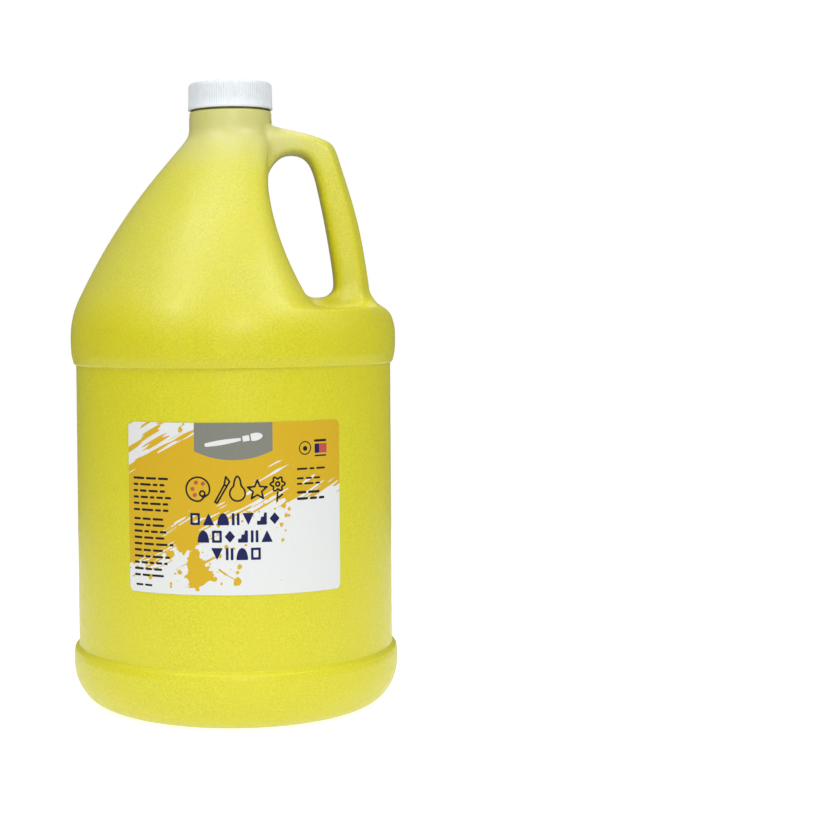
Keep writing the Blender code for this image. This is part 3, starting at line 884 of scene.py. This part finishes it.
def brush_icon(s, t, x, y, scale):
    """A plain paint brush lying on its side."""
    tilt = math.radians(9)
    p = ((s - x) * math.cos(tilt) + (t - y) * math.sin(tilt)) / scale
    q = (-(s - x) * math.sin(tilt) + (t - y) * math.cos(tilt)) / scale
    handle = np.minimum(0.75 + 0.35 * np.sin((p + 13) * 0.22) - np.abs(q),
                        np.minimum(p + 13, 3.2 - p))
    ferrule = np.minimum(1.25 - np.abs(q), np.minimum(p - 4.0, 7.0 - p))
    bristles = 1.75 * np.sqrt(np.clip(1 - ((p - 9.4) / 3.6) ** 2, 0, 1)) - np.abs(q) - 0.02
    bristles = np.minimum(bristles, p - 7.7)
    return np.maximum(np.maximum(handle, ferrule), bristles) * scale


def label_fields(s, t):
    """(finish name, field) in order: the first field that holds a point colours it."""
    tab_x, tab_half, tab_side, tab_low = -0.25, 17.5, 63.7, 59.7
    sag = tab_side - tab_low
    arc = (tab_half ** 2 + sag ** 2) / (2 * sag)
    tab_floor = tab_low + arc - np.sqrt(np.maximum(arc ** 2 - (s - tab_x) ** 2, 1.0))
    tab = np.minimum(tab_half - np.abs(s - tab_x), t - tab_floor)
    seal = np.maximum(0.26 - np.abs(np.hypot(s - 32.6, t - 64.2) - 2.8), disc(s, t, 32.6, 64.0, 1.1))
    small = np.maximum.reduce([
        word_dashes(s, t, -48.3, -28.4, 51.1, 2.83, 6, 1.05, 31),
        word_dashes(s, t, -48.1, -27.4, 32.9, 2.80, 10, 1.05, 32),
        word_dashes(s, t, -47.4, -37.0, 3.3, 2.8, 1, 0.95, 33),
        word_dashes(s, t, 28.4, 43.0, 55.0, 4.0, 1, 0.9, 34),
        word_dashes(s, t, 28.4, 44.0, 50.8, 2.4, 2, 0.9, 35),
        word_dashes(s, t, 28.4, 43.0, 44.6, 2.8, 2, 1.15, 36),
        block(s, t, 37.2, 66.7, 43.6, 67.8, 0.3), block(s, t, 37.4, 60.2, 43.6, 60.9, 0.3), seal])
    dots = np.maximum.reduce([disc(s, t, -18.6, 47.0, 0.95), disc(s, t, -17.0, 49.8, 0.95),
                              disc(s, t, -13.9, 49.4, 0.95), disc(s, t, -17.6, 44.3, 0.95)])
    navy = np.maximum.reduce([
        block_row(s, t, 0.2, 31.0, 5.4, ("frame", "roof", "arch", "posts", "funnel", "steps", "diamond")),
        block_row(s, t, 0.2, 23.3, 5.4, ("arch", "frame", "diamond", "steps", "posts", "roof")),
        block_row(s, t, 0.5, 15.6, 5.4, ("funnel", "posts", "arch", "frame")),
        block(s, t, 37.4, 61.7, 39.8, 65.9)])
    red = np.maximum(dots, block(s, t, 39.8, 61.7, 43.8, 65.9))
    return (("white", brush_icon(s, t, tab_x + 0.2, 68.4, 1.0)), ("grey", tab), ("black", small),
            ("black", craft_row(s, t, 46.9, 0.8)), ("navy", navy), ("red", red),
            ("orange", brushed_field(s, t)))


def split_polygon(polygon, column):
    """Cut a polygon of rows (s, t, fields) where a field is zero; returns inside and outside."""
    inside, outside = [], []
    for here, after in zip(polygon, polygon[1:] + polygon[:1]):
        (inside if here[column] > 0 else outside).append(here)
        if (here[column] > 0) != (after[column] > 0):
            share = here[column] / (here[column] - after[column])
            point = here + (after - here) * share
            inside.append(point)
            outside.append(point)
    return inside, outside


def cut_cells(stack, prints, finishes):
    """Corners, faces and material numbers of the flat sheet, its cells cut along every outline.

    A point of the stack is (s, t, the sheet's outline, then one field for each print)."""
    index, places, faces, kinds = {}, [], [], []

    def keep(polygon, name):
        if len(polygon) < 3:
            return
        face = []
        for point in polygon:
            key = (round(point[0] * 1e4), round(point[1] * 1e4))
            if key not in index:
                index[key] = len(places)
                places.append((point[0], point[1]))
            if index[key] not in face:
                face.append(index[key])
        if len(face) > 2:
            faces.append(face)
            kinds.append(finishes.index(name))

    for i in range(stack.shape[0] - 1):
        for j in range(stack.shape[1] - 1):
            rest = [stack[i, j], stack[i + 1, j], stack[i + 1, j + 1], stack[i, j + 1]]
            if min(p[2] for p in rest) < 0:
                rest, _ = split_polygon(rest, 2)
            for column, name in enumerate(prints, start=3):
                if not rest:
                    break
                signs = [p[column] > 0 for p in rest]
                if all(signs):
                    keep(rest, name)
                    rest = []
                elif any(signs):
                    inside, rest = split_polygon(rest, column)
                    keep(inside, name)
            keep(rest, "white")
    return places, faces, kinds


def add_skirt(mesh, material):
    """Fold the sheet's rim in towards the jug, so that the sheet shows its thickness."""
    bm = bmesh.new()
    bm.from_mesh(mesh)
    rim = [e for e in bm.edges if e.is_boundary]
    skirt = bmesh.ops.extrude_edge_only(bm, edges=rim)
    for vert in of_kind(skirt["geom"], bmesh.types.BMVert):
        flat = Vector((vert.co.x, vert.co.y, 0))
        vert.co -= flat.normalized() * SHEET_THICK * MM
    for face in of_kind(skirt["geom"], bmesh.types.BMFace):
        face.material_index = material
    bmesh.ops.recalc_face_normals(bm, faces=bm.faces)
    bm.to_mesh(mesh)
    bm.free()


def make_label(finishes):
    """One bent sheet whose cells are cut along the edges of the printed areas."""
    columns, rows = round(LABEL_W / CELL), round(LABEL_H / CELL)
    s, t = np.meshgrid(np.linspace(-LABEL_W / 2, LABEL_W / 2, columns + 1),
                       np.linspace(0, LABEL_H, rows + 1), indexing="ij")
    outline = block(s, t, -LABEL_W / 2, 0, LABEL_W / 2, LABEL_H, LABEL_CORNER) + 1e-4
    prints = label_fields(s, t)
    stack = np.stack([s, t, outline] + [field for _, field in prints], axis=-1)
    names = list(finishes)
    places, faces, kinds = cut_cells(stack, [name for name, _ in prints], names)
    verts = [(LABEL_R * math.sin(u / LABEL_R) * MM, -LABEL_R * math.cos(u / LABEL_R) * MM,
              (v + LABEL_LOW) * MM) for u, v in places]
    mesh = bpy.data.meshes.new("label_sheet")
    mesh.from_pydata(verts, [], faces)
    mesh.polygons.foreach_set("material_index", kinds)
    mesh.update()
    add_skirt(mesh, names.index("white"))
    label = link("label_sheet", mesh, *finishes.values())
    label.data.set_sharp_from_angle(angle=math.radians(40))
    return label


# ---- studio ----
EYE = Vector((0.0, -833.3, 193.6))  # where the picture is taken from, in millimetres
LOOK_DOWN = 1.84          # degrees
LEAN = 0.6                # degrees that the object leans to the left
FOCAL = 75.45             # on a 36 mm wide sensor
SHIFT = (0.2178, -0.0727)
SKY_LOW = 0.20            # the sky's strength at the horizon
SKY_HIGH = 0.50           # and overhead
LIGHTS_AIM = Vector((0, 0, 150 * MM))

# name, degrees round from the camera, degrees up, distance and size in metres, strength
SOFT_BOXES = (
    ("left_low", -41, 17, 1.5, 0.5, 0.06), ("left_middle", -44, 38, 1.5, 0.5, 0.19),
    ("left_high", -54, 62, 1.5, 0.55, 0.15), ("right", 44, 42, 1.5, 0.7, 0.30),
    ("right_side", 72, 22, 1.5, 1.0, 0.09), ("top", -8, 76, 1.5, 0.7, 0.14),
    ("front", 5, 20, 1.7, 0.9, 0.28), ("back", 180, 50, 1.5, 1.0, 0.14))


def make_camera():
    """A view from the front, with the jug left of the middle."""
    data = bpy.data.cameras.new("camera")
    data.sensor_width = 36.0
    data.lens = FOCAL
    data.shift_x, data.shift_y = SHIFT
    data.clip_start, data.clip_end = 0.01, 50.0
    camera = in_scene("camera", data)
    tilt = Euler((math.radians(90 - LOOK_DOWN), 0, 0)).to_matrix()
    roll = Matrix.Rotation(math.radians(-LEAN), 3, "Z")
    camera.matrix_world = Matrix.Translation(EYE * MM) @ (tilt @ roll).to_4x4()
    bpy.context.scene.camera = camera


def soft_box(name, azimuth, elevation, distance, size, strength):
    """A round soft box that adds strength to a white surface facing it; azimuth 0 is the camera's."""
    azimuth, elevation = math.radians(azimuth), math.radians(elevation)
    flat = math.cos(elevation)
    place = LIGHTS_AIM + distance * Vector((math.sin(azimuth) * flat, -math.cos(azimuth) * flat,
                                            math.sin(elevation)))
    data = bpy.data.lights.new(name, "AREA")
    data.shape = "DISK"
    data.size = size
    data.energy = strength * (math.pi * distance) ** 2
    light = in_scene(name, data)
    light.location = place
    light.rotation_euler = (LIGHTS_AIM - place).to_track_quat("-Z", "Y").to_euler()


def studio_world():
    """Light that grows from the horizon to overhead; the camera itself sees plain white."""
    world = bpy.data.worlds.new("studio")
    world.use_nodes = True
    tree = world.node_tree
    add, join = tree.nodes.new, tree.links.new
    sky = tree.nodes["Background"]
    direction = add("ShaderNodeTexCoord")
    split = add("ShaderNodeSeparateXYZ")
    rise = add("ShaderNodeMapRange")
    for key, value in (("From Min", 0.0), ("From Max", 1.0), ("To Min", SKY_LOW), ("To Max", SKY_HIGH)):
        rise.inputs[key].default_value = value
    join(direction.outputs["Generated"], split.inputs["Vector"])
    join(split.outputs["Z"], rise.inputs["Value"])
    join(rise.outputs["Result"], sky.inputs["Strength"])
    sky.inputs["Color"].default_value = (1.0, 1.0, 1.0, 1.0)
    white = add("ShaderNodeBackground")
    white.inputs["Color"].default_value = (1.0, 1.0, 1.0, 1.0)
    seen = add("ShaderNodeLightPath")
    mix = add("ShaderNodeMixShader")
    join(seen.outputs["Is Camera Ray"], mix.inputs["Fac"])
    join(sky.outputs["Background"], mix.inputs[1])
    join(white.outputs["Background"], mix.inputs[2])
    join(mix.outputs["Shader"], tree.nodes["World Output"].inputs["Surface"])
    return world


def make_studio():
    """World, lights and the floor that the jug stands on."""
    scene = bpy.context.scene
    scene.view_settings.view_transform = "Standard"
    scene.world = studio_world()
    for box in SOFT_BOXES:
        soft_box(*box)
    bm = bmesh.new()
    bmesh.ops.create_circle(bm, cap_ends=True, segments=96, radius=FLOOR_R)
    mesh = bpy.data.meshes.new("floor")
    bm.to_mesh(mesh)
    bm.free()
    floor = link("floor", mesh, studio_floor())


# ---- putting it together ----
def add_jug():
    plastic = jug_plastic()
    jug = make_jug(plastic)
    neck_thread = helix("neck_thread", FINISH_R - 0.4, FINISH_R, THREAD_R, 2.4, 1.1,
                        THREAD_Z, 0.0, THREAD_TURNS, plastic)
    for piece in [jug, neck_thread] + make_seams(jug, plastic):
        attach(piece, "jug")
    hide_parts("jug_body")


def add_label():
    inks = {
        "white": printed("label_white", (0.640, 0.655, 0.648), 0.03, 0.42),
        "orange": printed("label_orange", (0.550, 0.350, 0.014), 0.04, 0.42),
        "grey": printed("label_grey", (0.186, 0.190, 0.158), 0.06, 0.42),
        "black": printed("label_black", (0.008, 0.008, 0.011), 0.15, 0.42),
        "navy": printed("label_navy", (0.007, 0.009, 0.070), 0.12, 0.42),
        "red": printed("label_red", (0.420, 0.070, 0.060), 0.10, 0.42)}
    label = make_label(inks)
    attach(label, "jug")
    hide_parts("front_label")


def add_cap():
    white = cap_plastic()
    cap = make_cap(white)
    start_z = THREAD_Z + PITCH / 2 + PITCH * CAP_THREAD_START / 360
    cap_thread = helix("cap_thread", CAP_BORE + 0.3, CAP_BORE, CAP_THREAD_R, 2.6, 1.2,
                       start_z, CAP_THREAD_START, 1.0, white)
    for piece in (cap, cap_thread):
        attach(piece, "cap")
    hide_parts("screw_cap")


def add_liner():
    liner = make_liner(foam())
    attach(liner, "liner")
    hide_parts("cap_liner")


def colour_paint():
    """The paint keeps the CAD's own solid."""
    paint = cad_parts["paint_fill"]
    paint.data.materials.clear()
    paint.data.materials.append(wet_paint())


add_jug()
add_label()
add_cap()
add_liner()
colour_paint()
make_camera()
make_studio()
